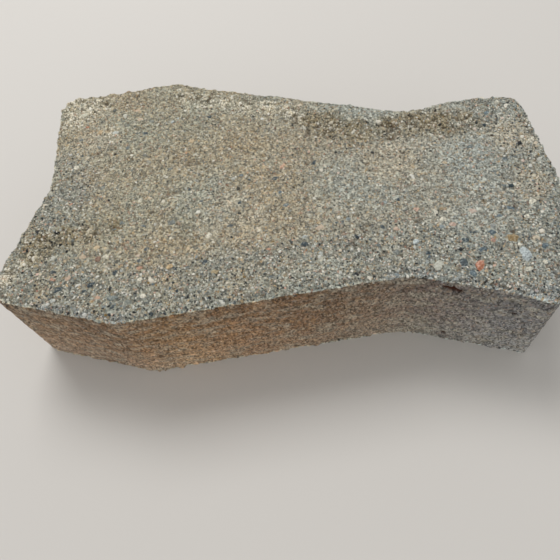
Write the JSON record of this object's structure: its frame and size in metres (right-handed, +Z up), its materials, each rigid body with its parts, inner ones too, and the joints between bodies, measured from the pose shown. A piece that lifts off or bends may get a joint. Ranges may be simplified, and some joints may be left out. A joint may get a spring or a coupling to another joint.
{
  "type": "interlocking concrete paving stone",
  "caption": "Wave-edged concrete paving stone whose plan is two nested wavy squares, with upright joint faces, a worn wearing face and a flat bed face.",
  "frame": {"origin": "middle of the bed face's bounding box, on the floor the stone lies on", "axes": "+X along the stone's length, towards the cell whose front and back are hollow; +Y across the stone, to the back; +Z up, from the bed face to the wearing face"},
  "size_m": [0.2611, 0.147, 0.06],
  "materials": {
    "concrete": "worn pressed concrete with exposed sand and gravel, matte"
  },
  "bodies": {
    "root": {"paving_stone": "concrete"}
  },
  "joints": []
}
